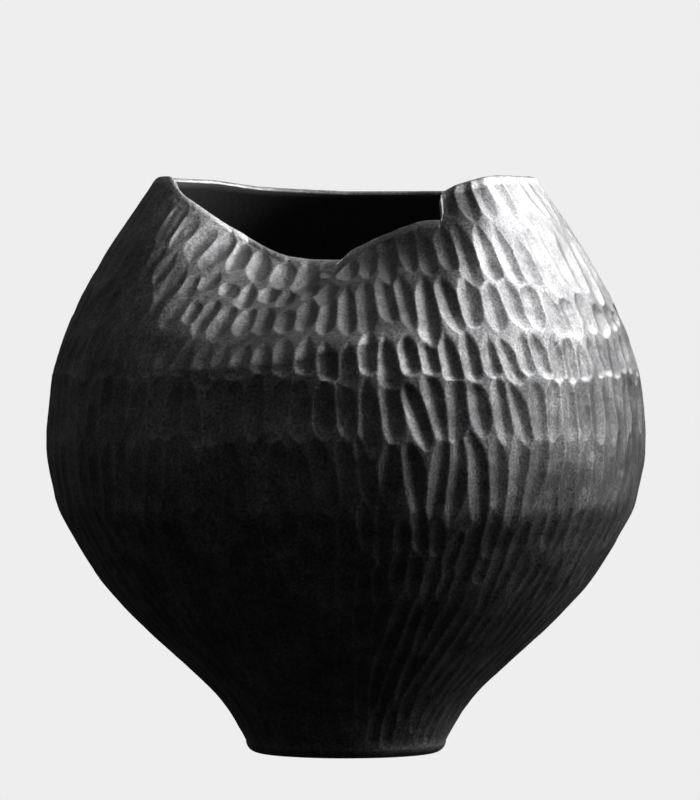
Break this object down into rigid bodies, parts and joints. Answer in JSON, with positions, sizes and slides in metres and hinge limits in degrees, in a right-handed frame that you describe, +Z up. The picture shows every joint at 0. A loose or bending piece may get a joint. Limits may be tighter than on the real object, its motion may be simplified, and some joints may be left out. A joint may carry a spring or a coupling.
{
  "type": "black clay pot",
  "caption": "Round carved pot of burnished black clay on a narrow flat foot, with its front wall pressed in under a dipped rim.",
  "frame": {"origin": "centre of the flat foot, on the surface that the pot stands on", "axes": "+Z up along the pot's axis; -Y is the front, where the rim dips; +X is the side of the step in the rim"},
  "size_m": [0.3, 0.3, 0.2875],
  "materials": {
    "black_clay": "burnished black clay with a graphite sheen and a fine sparkling grain, carved all over with short upright gouges"
  },
  "bodies": {
    "root": {"base_pad": "black_clay", "wall_course_01": "black_clay", "wall_course_02": "black_clay", "wall_course_03": "black_clay", "wall_course_04": "black_clay", "wall_course_05": "black_clay", "wall_course_06": "black_clay", "wall_course_07": "black_clay", "wall_course_08": "black_clay", "wall_course_09": "black_clay", "wall_course_10": "black_clay", "rim_course": "black_clay"}
  },
  "joints": []
}
